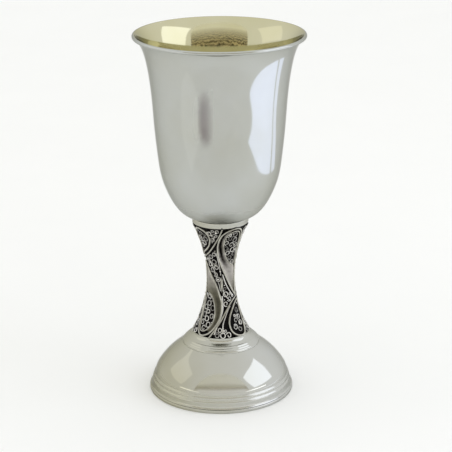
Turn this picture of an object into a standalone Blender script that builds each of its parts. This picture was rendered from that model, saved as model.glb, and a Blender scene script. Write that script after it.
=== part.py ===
"""Footed goblet (ciborium cup) of spun silver on an openwork stem, in metres, +Z up.

The origin is the centre of the ring that the goblet stands on. The cup, the stem and the foot are separate
pieces: a tie rod screwed into a boss under the cup runs down through the bored stem, and a nut and a washer
inside the foot draw the whole stack together. The stem is a waisted core with leaf-shaped wire frames, plates
and petals soldered round it. Touching pieces keep a solder gap.
"""

import math

import bmesh
import bpy
from mathutils import Vector

MM = 0.001

# Driving dimensions
HEIGHT = 150.0 * MM
RIM_RADIUS = 34.5 * MM
BASE_RADIUS = 29.9 * MM
STEM_MIDDLE = 48.8 * MM
WAIST_RADIUS = 6.08 * MM
WAIST_SPREAD = 17.8 * MM
SHEET = 0.9 * MM
GAP = 0.3 * MM

# Wires and the stem's core
FRAME_WIRE = 0.5 * MM
INNER_WIRE = 0.32 * MM
LIP_WIRE = 0.75 * MM
CORE_DEPTH = 1.45 * MM
CORE_END = 10.2 * MM
COLLAR_RADIUS = 11.8 * MM
STACK_BORE = 3.2 * MM

# Bolted joint under the cup
ROD_RADIUS = 2.5 * MM
ROD_HOLE = ROD_RADIUS + GAP
BOSS_RADIUS = 6.5 * MM
BOSS_HEIGHT = 3.2 * MM
NUT_ACROSS_FLATS = 8.0 * MM
NUT_HEIGHT = 4.0 * MM
WASHER_RADIUS = 8.0 * MM
WASHER_THICKNESS = 1.2 * MM

# Levels up the stack
BASE_RING_TOP = 1.1 * MM
FOOT_TOP = 20.3 * MM
CORE_LOW = 25.5 * MM
CORE_TOP = 72.3 * MM
CUP_SEAT = 74.2 * MM
BOSS_TOP = CUP_SEAT - GAP
BOSS_LOW = BOSS_TOP - BOSS_HEIGHT

ROUND_STEPS = 48
SMALL_STEPS = 32
REPEATS = 2

# Ornament, as (angle in degrees round from the front, height in mm) on the unrolled stem.
UPPER_LEAF = [
    (66.0, 41.9), (51.0, 44.0), (36.7, 46.9), (14.7, 52.0), (0.0, 56.0), (-8.0, 60.2), (-5.5, 65.0),
    (4.0, 69.0), (22.0, 71.5), (42.0, 71.3), (57.0, 68.0), (65.5, 61.5), (68.0, 52.0), (69.0, 43.6),
]
UPPER_EYE = [
    (51.0, 55.2), (38.0, 56.0), (25.0, 58.4), (17.0, 61.8), (17.0, 65.6), (24.0, 68.4), (34.0, 69.4), (44.0, 68.8),
    (51.5, 66.0), (54.8, 61.0), (55.0, 56.6),
]
# The plain plate between the two wires of a large leaf: angle, height and half its width, in mm.
UPPER_CHANNEL = [
    (59.5, 45.2, 0.12), (54.5, 46.7, 0.5), (44.0, 49.7, 0.9), (30.0, 53.0, 0.9), (17.0, 56.2, 0.85),
    (6.4, 60.4, 0.75), (5.2, 64.0, 0.6), (10.5, 67.4, 0.2),
]
UPPER_SMALL_LEAF = [
    (-64.0, 60.4), (-46.0, 62.6), (-34.0, 64.7), (-28.6, 67.2), (-34.0, 70.0), (-46.0, 71.2), (-60.0, 70.4),
    (-71.0, 67.2), (-73.5, 63.6), (-70.0, 60.8),
]
UPPER_BRANCH = [
    (-99.0, 57.0), (-88.0, 57.3), (-72.0, 58.0), (-56.0, 59.2), (-38.0, 61.1), (-24.5, 63.5), (-12.5, 66.7),
    (-5.5, 69.6), (-2.5, 71.2),
]

LOWER_LEAF = [
    (-71.2, 55.7), (-57.5, 53.5), (-43.0, 50.7), (-20.0, 46.5), (-6.6, 42.6), (2.6, 38.4), (-1.6, 34.4),
    (-12.5, 30.9), (-28.0, 27.6), (-47.2, 26.3), (-62.2, 29.2), (-70.6, 36.1), (-73.2, 45.6), (-74.2, 54.0),
]
LOWER_EYE = [
    (-51.0, 42.4), (-38.0, 41.4), (-28.5, 39.2), (-23.0, 36.2), (-23.0, 33.4), (-28.0, 31.0), (-36.0, 29.4),
    (-46.0, 28.6), (-56.0, 30.6), (-61.0, 35.5), (-59.5, 40.2),
]
LOWER_CHANNEL = [
    (-64.7, 52.4, 0.12), (-59.7, 50.9, 0.5), (-49.2, 48.2, 0.85), (-35.2, 44.9, 0.85), (-22.2, 42.1, 0.85),
    (-11.6, 38.5, 0.75), (-11.4, 35.2, 0.6), (-17.0, 32.0, 0.2),
]
LOWER_SMALL_LEAF = [
    (60.5, 37.7), (46.0, 36.6), (34.0, 34.7), (26.5, 32.6), (23.3, 30.2), (27.5, 27.8), (38.0, 26.5), (53.0, 26.2),
    (64.0, 28.4), (70.0, 32.3), (69.0, 35.8),
]
LOWER_BRANCH = [
    (-17.5, 26.6), (-9.0, 28.9), (2.0, 31.7), (14.7, 34.9), (29.3, 37.6), (44.0, 39.2), (60.0, 40.0), (78.0, 40.5),
    (93.0, 40.9),
]


def surface_radius(height):
    """The outline of the stem, a catenary turned round the axis."""
    return WAIST_RADIUS * math.cosh((height - STEM_MIDDLE) / WAIST_SPREAD)


def on_stem(angle, height, depth):
    """A point at an angle in degrees and a height, depth below the stem's outline. Angle 0 faces -Y."""
    radius = surface_radius(height) - depth
    turn = math.radians(angle)
    return Vector((radius * math.sin(turn), -radius * math.cos(turn), height))


def smooth(points, per_span, closed=False):
    """A Catmull-Rom curve through the points, as a list."""
    count = len(points)
    spans = count if closed else count - 1
    found = []
    for i in range(spans):
        around = []
        for k in (-1, 0, 1, 2):
            at = (i + k) % count if closed else min(max(i + k, 0), count - 1)
            around.append(points[at])
        for step in range(per_span):
            t = step / per_span
            weights = (
                -0.5 * t + t * t - 0.5 * t**3,
                1 - 2.5 * t * t + 1.5 * t**3,
                0.5 * t + 2 * t * t - 1.5 * t**3,
                -0.5 * t * t + 0.5 * t**3,
            )
            found.append(tuple(sum(w * p[axis] for w, p in zip(weights, around)) for axis in range(len(around[0]))))
    if not closed:
        found.append(points[-1])
    return found


def material(name, colour, roughness, metallic=1.0):
    made = bpy.data.materials.new(name)
    made.use_nodes = True
    shader = made.node_tree.nodes["Principled BSDF"]
    shader.inputs["Base Color"].default_value = (*colour, 1.0)
    shader.inputs["Roughness"].default_value = roughness
    shader.inputs["Metallic"].default_value = metallic
    return made


def add(name, data, finish):
    piece = bpy.data.objects.new(name, data)
    piece.data.materials.append(finish)
    parts.objects.link(piece)
    return piece


def keep(piece, name, finish):
    """Names an object that an operator has just made, and moves it to the goblet's collection."""
    piece.name = name
    piece.data.materials.append(finish)
    for collection in list(piece.users_collection):
        collection.objects.unlink(piece)
    parts.objects.link(piece)
    return piece


def screwed(name, profile, finish, closed, steps):
    """A profile of (radius, height) turned round Z. It runs down the outer side, top to bottom."""
    mesh = bpy.data.meshes.new(name)
    edges = [(i, i + 1) for i in range(len(profile) - 1)]
    if closed:
        edges.append((len(profile) - 1, 0))
    mesh.from_pydata([(radius, 0.0, height) for radius, height in profile], edges, [])
    piece = add(name, mesh, finish)
    screw = piece.modifiers.new("Turn", "SCREW")
    screw.steps = steps
    screw.render_steps = steps
    screw.use_merge_vertices = True
    screw.merge_threshold = 0.00005
    return piece


def turned(name, profile, finish, steps=ROUND_STEPS):
    return screwed(name, profile, finish, True, steps)


def ring(name, inner, outer, low, high, finish, steps=SMALL_STEPS):
    return turned(name, [(outer, high), (outer, low), (inner, low), (inner, high)], finish, steps)


def bored_disc(name, edge):
    """A turned silver disc that the tie rod passes through, from the outline of its edge in mm."""
    high = edge[0][1] * MM
    low = edge[-1][1] * MM
    outline = [(radius * MM, height * MM) for radius, height in edge]
    turned(name, [*outline, (STACK_BORE, low), (STACK_BORE, high)], silver)


def spun_shell(name, profile, finish):
    """Sheet metal spun to an outline: an open surface thickened inwards."""
    piece = screwed(name, profile, finish, False, ROUND_STEPS)
    wall = piece.modifiers.new("Sheet", "SOLIDIFY")
    wall.thickness = SHEET
    wall.offset = -1.0
    wall.use_even_offset = True
    return piece


def wire(name, points, thickness, per_span, closed, finish):
    """A round wire laid on the stem's outline, from its (angle, height in mm) points."""
    curve = bpy.data.curves.new(name, "CURVE")
    curve.dimensions = "3D"
    curve.bevel_depth = thickness
    curve.bevel_resolution = 1
    curve.use_fill_caps = True
    path = smooth(points, per_span, closed)
    spline = curve.splines.new("POLY")
    spline.points.add(len(path) - 1)
    for point, (angle, height) in zip(spline.points, path):
        point.co = (*on_stem(angle, height * MM, FRAME_WIRE), 1.0)
    spline.use_cyclic_u = closed
    return add(name, curve, finish)


def build_cup():
    outline = [
        (33.1, 148.3), (31.9, 146.3), (30.6, 143.8), (29.4, 140.2), (28.4, 135.6), (27.6, 129.5), (26.75, 120.0),
        (26.0, 110.0), (25.0, 100.0), (24.3, 95.0), (22.9, 89.3), (21.0, 84.8), (18.2, 80.2), (14.9, 76.9),
        (12.1, 75.25), (8.8, 74.3),
    ]
    profile = [(radius * MM, height * MM) for radius, height in outline]
    spun_shell("bowl", [*profile, (0.0, CUP_SEAT)], silver)
    bpy.ops.mesh.primitive_torus_add(
        major_radius=RIM_RADIUS - LIP_WIRE,
        minor_radius=LIP_WIRE,
        major_segments=ROUND_STEPS,
        minor_segments=8,
        location=(0, 0, HEIGHT - LIP_WIRE),
    )
    keep(bpy.context.object, "lip_wire", silver)
    ring("threaded_boss", ROD_HOLE, BOSS_RADIUS, BOSS_LOW, BOSS_TOP, silver)


def build_foot():
    outline = [
        (16.2, 20.2), (17.9, 19.0), (21.4, 15.9), (24.2, 12.8), (26.2, 9.6), (27.1, 7.0), (27.25, 5.7),
        (27.8, 5.35), (28.0, 4.75), (28.3, 4.45), (28.5, 3.7), (28.9, 2.75), (29.4, 2.0), (29.45, 1.42),
    ]
    slope = [(radius * MM, height * MM) for radius, height in outline]
    spun_shell("foot_shell", [(ROD_HOLE, FOOT_TOP), (9.0 * MM, FOOT_TOP), *slope], silver)
    edge = 0.35 * MM
    inner = BASE_RADIUS - 2.6 * MM
    turned(
        "base_ring",
        [
            (BASE_RADIUS - edge, BASE_RING_TOP), (BASE_RADIUS, BASE_RING_TOP - edge), (BASE_RADIUS, edge),
            (BASE_RADIUS - edge, 0.0), (inner, 0.0), (inner, BASE_RING_TOP),
        ],
        silver,
    )
    bored_disc(
        "shoulder_ring",
        [(14.2, 22.6), (14.9, 22.3), (14.9, 21.9), (14.6, 21.6), (15.7, 21.4), (16.0, 21.1), (15.8, 20.6)],
    )
    bored_disc("lower_collar", [(11.9, 25.2), (12.1, 24.3), (12.8, 23.4), (13.7, 22.9)])


def build_fastening():
    rod_low = 12.6 * MM
    rod_high = 73.2 * MM
    bpy.ops.mesh.primitive_cylinder_add(
        vertices=24, radius=ROD_RADIUS, depth=rod_high - rod_low, location=(0, 0, (rod_high + rod_low) / 2)
    )
    rod = keep(bpy.context.object, "tie_rod", steel)
    chamfer = rod.modifiers.new("Chamfer", "BEVEL")
    chamfer.width = 0.4 * MM
    chamfer.segments = 1
    washer_top = FOOT_TOP - SHEET - GAP
    ring("clamp_washer", ROD_HOLE, WASHER_RADIUS, washer_top - WASHER_THICKNESS, washer_top, steel)
    nut_middle = washer_top - WASHER_THICKNESS - GAP - NUT_HEIGHT / 2
    bpy.ops.mesh.primitive_cylinder_add(
        vertices=6, radius=NUT_ACROSS_FLATS / math.sqrt(3), depth=NUT_HEIGHT, location=(0, 0, nut_middle)
    )
    nut = keep(bpy.context.object, "nut", steel)
    bpy.ops.mesh.primitive_cylinder_add(
        vertices=24, radius=ROD_HOLE, depth=2 * NUT_HEIGHT, location=(0, 0, nut_middle)
    )
    cutter = bpy.context.object
    cutter.name = "nut_thread_cutter"
    cutter.hide_render = True
    cutter.display_type = "WIRE"
    for collection in list(cutter.users_collection):
        collection.objects.unlink(cutter)
    cutters.objects.link(cutter)
    thread = nut.modifiers.new("Thread", "BOOLEAN")
    thread.operation = "DIFFERENCE"
    thread.object = cutter


def build_stem():
    """The waisted core that stands on the foot's collar, and the collar between it and the cup."""
    count = 14
    waist = []
    for i in range(count + 1):
        height = CORE_TOP - i * (CORE_TOP - CORE_LOW) / count
        waist.append((min(surface_radius(height) - CORE_DEPTH, CORE_END), height))
    pocket = BOSS_RADIUS + GAP
    floor = BOSS_LOW - GAP
    bore = [(STACK_BORE, CORE_LOW), (STACK_BORE, floor), (pocket, floor), (pocket, CORE_TOP)]
    turned("stem_core", [*waist, *bore], dark_silver, SMALL_STEPS)
    low = CORE_TOP + GAP
    flare = 0.3 * MM
    edge = [(COLLAR_RADIUS + flare, CUP_SEAT + flare), (COLLAR_RADIUS, CUP_SEAT - flare), (COLLAR_RADIUS, low)]
    turned("upper_collar", [*edge, (pocket, low), (pocket, BOSS_TOP)], silver, SMALL_STEPS)


def channel_plate(name, places, turn, finish):
    """The plain plate of a large leaf, laid along its stations on the stem's outline."""
    mesh = bpy.data.meshes.new(name)
    sheet = bmesh.new()
    stations = smooth(places, 2)
    rows = []
    for i, (angle, height, half) in enumerate(stations):
        before = stations[max(i - 1, 0)]
        after = stations[min(i + 1, len(stations) - 1)]
        degree = math.radians(1) * surface_radius(height * MM) / MM
        along = Vector(((after[0] - before[0]) * degree, after[1] - before[1])).normalized()
        row = []
        for across in (-half, 0, half):
            spot = (angle - along.y * across / degree, height + along.x * across)
            row.append(sheet.verts.new(on_stem(spot[0] + turn, spot[1] * MM, FRAME_WIRE)))
        rows.append(row)
    for above, below in zip(rows, rows[1:]):
        for i in (0, 1):
            sheet.faces.new((above[i], above[i + 1], below[i + 1], below[i]))
    sheet.normal_update()
    sheet.to_mesh(mesh)
    sheet.free()
    piece = add(name, mesh, finish)
    thicken = piece.modifiers.new("Sheet", "SOLIDIFY")
    thicken.thickness = 0.5 * MM
    thicken.offset = 0.0
    return piece


def build_ornament():
    rows = (
        ("upper", UPPER_LEAF, UPPER_EYE, UPPER_SMALL_LEAF, UPPER_BRANCH, UPPER_CHANNEL),
        ("lower", LOWER_LEAF, LOWER_EYE, LOWER_SMALL_LEAF, LOWER_BRANCH, LOWER_CHANNEL),
    )
    for row, leaf, eye, small, branch, channel in rows:
        for i in range(REPEATS):
            turn = 360.0 / REPEATS * i
            label = f"{row}_{i + 1}"
            leaf_now, eye_now, small_now, branch_now = (
                [(angle + turn, height) for angle, height in points] for points in (leaf, eye, small, branch)
            )
            wire(f"leaf_frame_{label}", leaf_now, FRAME_WIRE, 3, True, silver)
            wire(f"eye_wire_{label}", eye_now, INNER_WIRE, 2, True, silver)
            wire(f"small_leaf_frame_{label}", small_now, FRAME_WIRE, 2, True, silver)
            wire(f"branch_wire_{label}", branch_now, FRAME_WIRE, 2, False, silver)
            channel_plate(f"channel_plate_{label}", channel, turn, silver)


def build_petals():
    """A long petal and a bead in each gap at the waist."""
    for i in range(REPEATS):
        turn = 360.0 / REPEATS * i
        middle = STEM_MIDDLE - 1.9 * MM
        bpy.ops.mesh.primitive_uv_sphere_add(segments=10, ring_count=6, radius=1.0)
        petal = keep(bpy.context.object, f"petal_{i + 1}", silver)
        petal.scale = (0.5 * MM, 0.42 * MM, 3.7 * MM)
        petal.location = on_stem(5.2 + turn, middle, 0.5 * MM)
        petal.rotation_euler.z = math.radians(5.2 + turn)
        bpy.ops.mesh.primitive_uv_sphere_add(segments=10, ring_count=6, radius=0.5 * MM)
        bead = keep(bpy.context.object, f"bead_{i + 1}", silver)
        bead.location = on_stem(-11.0 + turn, STEM_MIDDLE + 0.4 * MM, 0.5 * MM)


for old in list(bpy.data.objects):
    bpy.data.objects.remove(old)
parts = bpy.data.collections.new("goblet")
cutters = bpy.data.collections.new("cutters")
bpy.context.scene.collection.children.link(parts)
bpy.context.scene.collection.children.link(cutters)

silver = material("polished silver", (0.80, 0.79, 0.75), 0.12)
dark_silver = material("oxidised silver", (0.05, 0.045, 0.04), 0.5)
steel = material("zinc-plated steel", (0.55, 0.56, 0.56), 0.35)

build_foot()
build_fastening()
build_stem()
build_ornament()
build_petals()
build_cup()
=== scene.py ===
"""Looks of the footed silver goblet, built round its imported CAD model. Metres, +Z up, rest pose."""

import random
from math import cos, cosh, degrees, hypot, pi, radians, sin, tau

import bmesh
import bpy
from mathutils import Euler, Matrix, Vector


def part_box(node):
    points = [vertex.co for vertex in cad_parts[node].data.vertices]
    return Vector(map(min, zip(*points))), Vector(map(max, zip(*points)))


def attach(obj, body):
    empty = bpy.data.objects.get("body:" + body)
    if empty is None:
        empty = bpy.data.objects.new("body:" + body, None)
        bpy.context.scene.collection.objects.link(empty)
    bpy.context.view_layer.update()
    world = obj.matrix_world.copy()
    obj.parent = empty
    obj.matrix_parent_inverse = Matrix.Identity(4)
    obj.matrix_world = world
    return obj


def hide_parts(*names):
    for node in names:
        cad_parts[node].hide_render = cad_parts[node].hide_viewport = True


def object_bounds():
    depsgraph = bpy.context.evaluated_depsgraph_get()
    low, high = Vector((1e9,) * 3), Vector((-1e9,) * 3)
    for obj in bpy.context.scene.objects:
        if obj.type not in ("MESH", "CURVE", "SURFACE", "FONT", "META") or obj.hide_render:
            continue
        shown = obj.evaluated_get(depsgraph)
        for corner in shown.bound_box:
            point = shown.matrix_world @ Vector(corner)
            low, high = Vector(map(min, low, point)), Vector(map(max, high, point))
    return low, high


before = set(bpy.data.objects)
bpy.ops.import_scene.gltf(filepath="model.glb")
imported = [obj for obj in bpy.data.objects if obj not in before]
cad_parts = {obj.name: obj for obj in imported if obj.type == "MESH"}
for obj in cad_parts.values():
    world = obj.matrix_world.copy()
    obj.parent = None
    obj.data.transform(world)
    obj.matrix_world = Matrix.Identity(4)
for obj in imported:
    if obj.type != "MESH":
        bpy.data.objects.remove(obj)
cad_low, cad_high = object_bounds()

MM = 0.001
HEIGHT = cad_high.z
RIM_RADIUS = cad_high.x
BODY = "root"

# The waisted stem: a catenary turned round the axis, as in the CAD
WAIST_RADIUS = 6.08 * MM
WAIST_SPREAD = 17.8 * MM
STEM_MIDDLE = 48.8 * MM
REPEATS = 2
GROUND_DEPTH = 1.25 * MM

# Wire and granule radii of the openwork, and the thickness of the spun sheet
FRAME_WIRE = 0.38 * MM
INNER_WIRE = 0.28 * MM
CURL_WIRE = 0.24 * MM
GRANULE = 0.3 * MM
WIRE_SIDES = 10
SHEET = 0.9 * MM
# In mm: how far the wires' middles stand out from the outline, and the hole that the tie rod runs through
FRAME_LIFT = -0.4
CURL_DEPTH = -0.48
BORE = 3.2
# Degrees round the lip where the gold wash starts, and over how many it thickens
GILDING_STARTS = 75.0
GILDING_FADE = 45.0
# The tint of silver seen at a glancing angle
DULL_EDGE = "#c6c6c2"
LATHE_STEPS = 192
ON_AXIS = 1e-6


# -------------------- small helpers


def colour(code):
    """A #rrggbb colour as linear RGBA."""
    parts = [int(code[i : i + 2], 16) / 255 for i in (1, 3, 5)]
    return (*(c / 12.92 if c <= 0.04045 else ((c + 0.055) / 1.055) ** 2.4 for c in parts), 1.0)


def put(tree, kind, *values, **named):
    """Adds a node and gives its outputs. The kind is its type, short of the word ShaderNode.

    The values go to its inputs in order. A name that starts with a capital is an input too, and any other is
    a setting. What an input gets is a plain value, a #rrggbb colour or the socket that feeds it.
    """
    made = tree.nodes.new(kind if "Node" in kind else f"ShaderNode{kind}")
    inputs = dict(enumerate(values))
    for name, value in named.items():
        if name[0].isupper():
            inputs[name.replace("_", " ")] = value
        else:
            setattr(made, name, value)
    for key, value in inputs.items():
        if isinstance(value, bpy.types.NodeSocket):
            tree.links.new(value, made.inputs[key])
        else:
            is_colour = isinstance(value, str) and value.startswith("#")
            made.inputs[key].default_value = colour(value) if is_colour else value
    return made.outputs


def bounds_mm(node):
    """A CAD node's lowest height, highest height and half width, in mm."""
    low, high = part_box(node)
    return low.z / MM, high.z / MM, high.x / MM


def stands_for(piece, *nodes, slot="polished_silver"):
    """Hides the CAD nodes that a piece replaces and puts the piece on the one body. The slot is not used."""
    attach(piece, BODY)
    if nodes:
        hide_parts(*nodes)


def outline(points, per_span):
    """A uniform cubic B-spline through an outline's control points, ends included, as (radius, height)."""
    held = [points[0]] * 2 + list(points) + [points[-1]] * 2
    found = []
    for i in range(len(held) - 3):
        for step in range(per_span):
            t = step / per_span
            weights = ((1 - t) ** 3, 3 * t**3 - 6 * t * t + 4, -3 * t**3 + 3 * t * t + 3 * t + 1, t**3)
            found.append(tuple(sum(w * p[axis] for w, p in zip(weights, held[i:])) / 6 for axis in (0, 1)))
    return [*found, points[-1]]


def arc(centre, radius, start, end, count):
    """Points on an arc, angles in degrees anticlockwise from the +radius direction."""
    found = []
    for i in range(count + 1):
        angle = radians(start + (end - start) * i / count)
        found.append((centre[0] + radius * cos(angle), centre[1] + radius * sin(angle)))
    return found


def offset(profile, distance):
    """The profile moved sideways by a distance, to its left as it runs."""
    moved = []
    for i, point in enumerate(profile):
        before = Vector(profile[max(i - 1, 0)])
        after = Vector(profile[min(i + 1, len(profile) - 1)])
        along = (after - before).normalized()
        moved.append((point[0] - along.y * distance, point[1] + along.x * distance))
    return moved


def new_object(name, data, *finishes):
    made = bpy.data.objects.new(name, data)
    bpy.context.scene.collection.objects.link(made)
    for finish in finishes:
        data.materials.append(finish)
    return made


def mesh_of(name, solid):
    mesh = bpy.data.meshes.new(name)
    solid.to_mesh(mesh)
    solid.free()
    return mesh


def skinned(name, rings, finish, sharp):
    """A closed, smooth shape over rings of points, with edges over so many degrees left sharp.

    A ring of one point is a pole.
    """
    solid = bmesh.new()
    rings = [[solid.verts.new(point) for point in ring] for ring in rings]
    steps = max(len(ring) for ring in rings)
    for above, below in zip(rings, [*rings[1:], rings[0]]):
        for i in range(steps):
            j = (i + 1) % steps
            corners = [
                above[i % len(above)], above[j % len(above)], below[j % len(below)], below[i % len(below)]
            ]
            face = list(dict.fromkeys(corners))
            if len(face) > 2:
                solid.faces.new(face)
    bmesh.ops.recalc_face_normals(solid, faces=solid.faces)
    for face in solid.faces:
        face.smooth = True
    mesh = mesh_of(name, solid)
    mesh.set_sharp_from_angle(angle=radians(sharp))
    return new_object(name, mesh, finish)


def lathe(name, profile, finish, steps=LATHE_STEPS, sharp=40.0):
    """A profile of (radius, height) in mm turned round the axis. Points on the axis become poles."""
    rings = []
    for radius, height in profile:
        if radius < ON_AXIS:
            rings.append([(0, 0, height * MM)])
            continue
        turns = [tau * i / steps for i in range(steps)]
        rings.append(
            [(radius * MM * cos(turn), radius * MM * sin(turn), height * MM) for turn in turns]
        )
    return skinned(name, rings, finish, sharp)


# -------------------- drawing on the unrolled stem
# A flat drawing has X as the angle round the stem in radians from the front, Y as the height above the
# openwork's outline and Z as the height up the stem. The trees below wrap it round the waist.


def stem_radius(height):
    return WAIST_RADIUS * cosh((height - STEM_MIDDLE) / WAIST_SPREAD)


def flat(angle, height, lift=0.0):
    """A point of a flat drawing, from degrees and mm."""
    return Vector((radians(angle), lift * MM, height * MM))


def beside(angle, height, across, up, lift=0.0):
    """A point of a flat drawing, so many mm across and up from a place given in degrees and mm."""
    level = (height + up) * MM
    return Vector((radians(angle) + across * MM / stem_radius(level), lift * MM, level))


def drawing(name, lines):
    """A mesh of open or closed lines. Each line is (points, closed, thickness at start, at end)."""
    mesh = bpy.data.meshes.new(name)
    points, edges, widths = [], [], []
    for line, closed, first, last in lines:
        start = len(points)
        count = len(line)
        for i, point in enumerate(line):
            points.append(point)
            widths.append(first + (last - first) * i / max(count - 1, 1))
        edges += [(start + i, start + i + 1) for i in range(count - 1)]
        if closed:
            edges.append((start + count - 1, start))
    mesh.from_pydata(points, edges, [])
    width = mesh.attributes.new("thickness", "FLOAT", "POINT")
    width.data.foreach_set("value", widths)
    return mesh


def loop(points, lift=0.0):
    return ([flat(angle, height, lift) for angle, height in points], True, 1.0, 1.0)


def strand(points, lift=CURL_DEPTH, thickness=1.0):
    return ([flat(angle, height, lift) for angle, height in points], False, thickness, thickness * 0.95)


def scroll(place, size, start, hand, turns, lift):
    """A wire wound inwards from a nearly full ring into its heart."""
    count = 12
    line = []
    for i in range(count + 1):
        t = i / count
        angle = radians(start) + hand * tau * turns * t
        reach = size * (1 - 0.7 * t**2.2)
        line.append(beside(*place, reach * cos(angle), reach * sin(angle), lift))
    return (line, False, 1.0, 0.85)


def ring_wire(place, size, lift=CURL_DEPTH):
    line = [beside(*place, *spot, lift) for spot in arc((0.0, 0.0), size, 0, 315, 7)]
    return (line, True, 1.0, 1.0)


# -------------------- geometry node trees


def group_tree(name, **inputs):
    """An empty geometry tree with a geometry input, named inputs and a geometry output."""
    tree = bpy.data.node_groups.new(name, "GeometryNodeTree")
    tree.interface.new_socket("Geometry", in_out="INPUT", socket_type="NodeSocketGeometry")
    for label, (kind, value) in inputs.items():
        socket = tree.interface.new_socket(label.replace("_", " "), in_out="INPUT", socket_type=kind)
        if value is not None:
            socket.default_value = value
    tree.interface.new_socket("Geometry", in_out="OUTPUT", socket_type="NodeSocketGeometry")
    return tree, put(tree, "NodeGroupInput")


FLOAT = "NodeSocketFloat"
WHOLE = "NodeSocketInt"
FINISH = "NodeSocketMaterial"


def laid_round(tree, drawn, row, wrap):
    """Repeats a flat drawing round the stem and wraps it there."""
    many = put(tree, "GeometryNodeGroup", Geometry=drawn, node_tree=row)[0]
    return put(tree, "GeometryNodeGroup", Geometry=many, node_tree=wrap)[0]


def swell_at(tree, height, middle, spread):
    """How many times wider than its waist the stem is at a height."""
    above = put(tree, "Math", height, middle, operation="SUBTRACT")[0]
    ratio = put(tree, "Math", above, spread, operation="DIVIDE")[0]
    return put(tree, "Math", ratio, operation="COSH")[0]


def waist_tree():
    """Wraps a flat drawing round the waisted stem: the outline is a catenary turned round the axis."""
    tree, given = group_tree(
        "Wrap round the waist",
        Waist_radius=(FLOAT, WAIST_RADIUS),
        Waist_spread=(FLOAT, WAIST_SPREAD),
        Waist_height=(FLOAT, STEM_MIDDLE),
    )
    place = put(tree, "GeometryNodeInputPosition")[0]
    drawn = put(tree, "SeparateXYZ", place)
    swell = swell_at(tree, drawn[2], given["Waist height"], given["Waist spread"])
    radius = put(tree, "Math", swell, given["Waist radius"], drawn[1], operation="MULTIPLY_ADD")[0]
    sine = put(tree, "Math", drawn[0], operation="SINE")[0]
    cosine = put(tree, "Math", drawn[0], operation="COSINE")[0]
    across = put(tree, "Math", radius, sine, operation="MULTIPLY")[0]
    towards = put(tree, "Math", radius, cosine, operation="MULTIPLY")[0]
    back = put(tree, "Math", towards, -1.0, operation="MULTIPLY")[0]
    wrapped = put(tree, "CombineXYZ", across, back, drawn[2])[0]
    laid = put(tree, "GeometryNodeSetPosition", Geometry=given["Geometry"], Position=wrapped)[0]
    put(tree, "NodeGroupOutput", laid)
    return tree


def row_tree():
    """Repeats a flat drawing round the stem."""
    tree, given = group_tree("Row of motifs", Repeats=(WHOLE, REPEATS))
    step = put(tree, "Math", tau, given["Repeats"], operation="DIVIDE")[0]
    spacing = put(tree, "CombineXYZ", step)[0]
    places = put(tree, "GeometryNodeMeshLine", Count=given["Repeats"], Offset=spacing, mode="OFFSET")[0]
    row = put(tree, "GeometryNodeInstanceOnPoints", Points=places, Instance=given["Geometry"])[0]
    real = put(tree, "GeometryNodeRealizeInstances", Geometry=row)[0]
    put(tree, "NodeGroupOutput", real)
    return tree


def finish_tree(tree, shape, finish):
    """Ends a tree: real geometry, smooth shading and its material."""
    real = put(tree, "GeometryNodeRealizeInstances", Geometry=shape)[0]
    smooth = put(tree, "GeometryNodeSetShadeSmooth", Geometry=real)[0]
    coated = put(tree, "GeometryNodeSetMaterial", Geometry=smooth, Material=finish)[0]
    put(tree, "NodeGroupOutput", coated)


def wire_tree(row, wrap):
    """Drawn lines, repeated, wrapped round the stem and swept into round wire."""
    tree, given = group_tree(
        "Soldered wire",
        Wire_radius=(FLOAT, FRAME_WIRE),
        Sides=(WHOLE, WIRE_SIDES),
        Smoothness=(WHOLE, 5),
        Finish=(FINISH, None),
    )
    lines = put(tree, "GeometryNodeMeshToCurve", Mesh=given["Geometry"])[0]
    width = put(tree, "GeometryNodeInputNamedAttribute", Name="thickness", data_type="FLOAT")[0]
    radius = put(tree, "Math", width, given["Wire radius"], operation="MULTIPLY")[0]
    sized = put(tree, "GeometryNodeSetCurveRadius", Curve=lines, Radius=radius)[0]
    bent = put(tree, "GeometryNodeCurveSplineType", Curve=sized, spline_type="CATMULL_ROM")[0]
    fine = put(tree, "GeometryNodeSetSplineResolution", Geometry=bent, Resolution=given["Smoothness"])[0]
    laid = laid_round(tree, fine, row, wrap)
    section = put(
        tree, "GeometryNodeCurvePrimitiveCircle", Resolution=given["Sides"], Radius=1.0, mode="RADIUS"
    )[0]
    kept = put(tree, "GeometryNodeInputRadius")[0]
    swept = put(
        tree, "GeometryNodeCurveToMesh", Curve=laid, Profile_Curve=section, Scale=kept, Fill_Caps=True
    )[0]
    finish_tree(tree, swept, given["Finish"])
    return tree


def plate_tree(row, wrap):
    """Flat solids, repeated and wrapped round the stem."""
    tree, given = group_tree("Soldered plate", Finish=(FINISH, None))
    laid = laid_round(tree, given["Geometry"], row, wrap)
    finish_tree(tree, laid, given["Finish"])
    return tree


def granule_tree(row, wrap):
    """A round granule on every drawn point."""
    tree, given = group_tree(
        "Soldered granules",
        Granule_radius=(FLOAT, GRANULE),
        Sides=(WHOLE, 8),
        Finish=(FINISH, None),
    )
    laid = laid_round(tree, given["Geometry"], row, wrap)
    ball = put(
        tree, "GeometryNodeMeshUVSphere", Radius=given["Granule radius"], Segments=given["Sides"], Rings=6
    )[0]
    size = put(tree, "GeometryNodeInputNamedAttribute", Name="thickness", data_type="FLOAT")[0]
    balls = put(tree, "GeometryNodeInstanceOnPoints", Points=laid, Instance=ball, Scale=size)[0]
    finish_tree(tree, balls, given["Finish"])
    return tree


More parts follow.
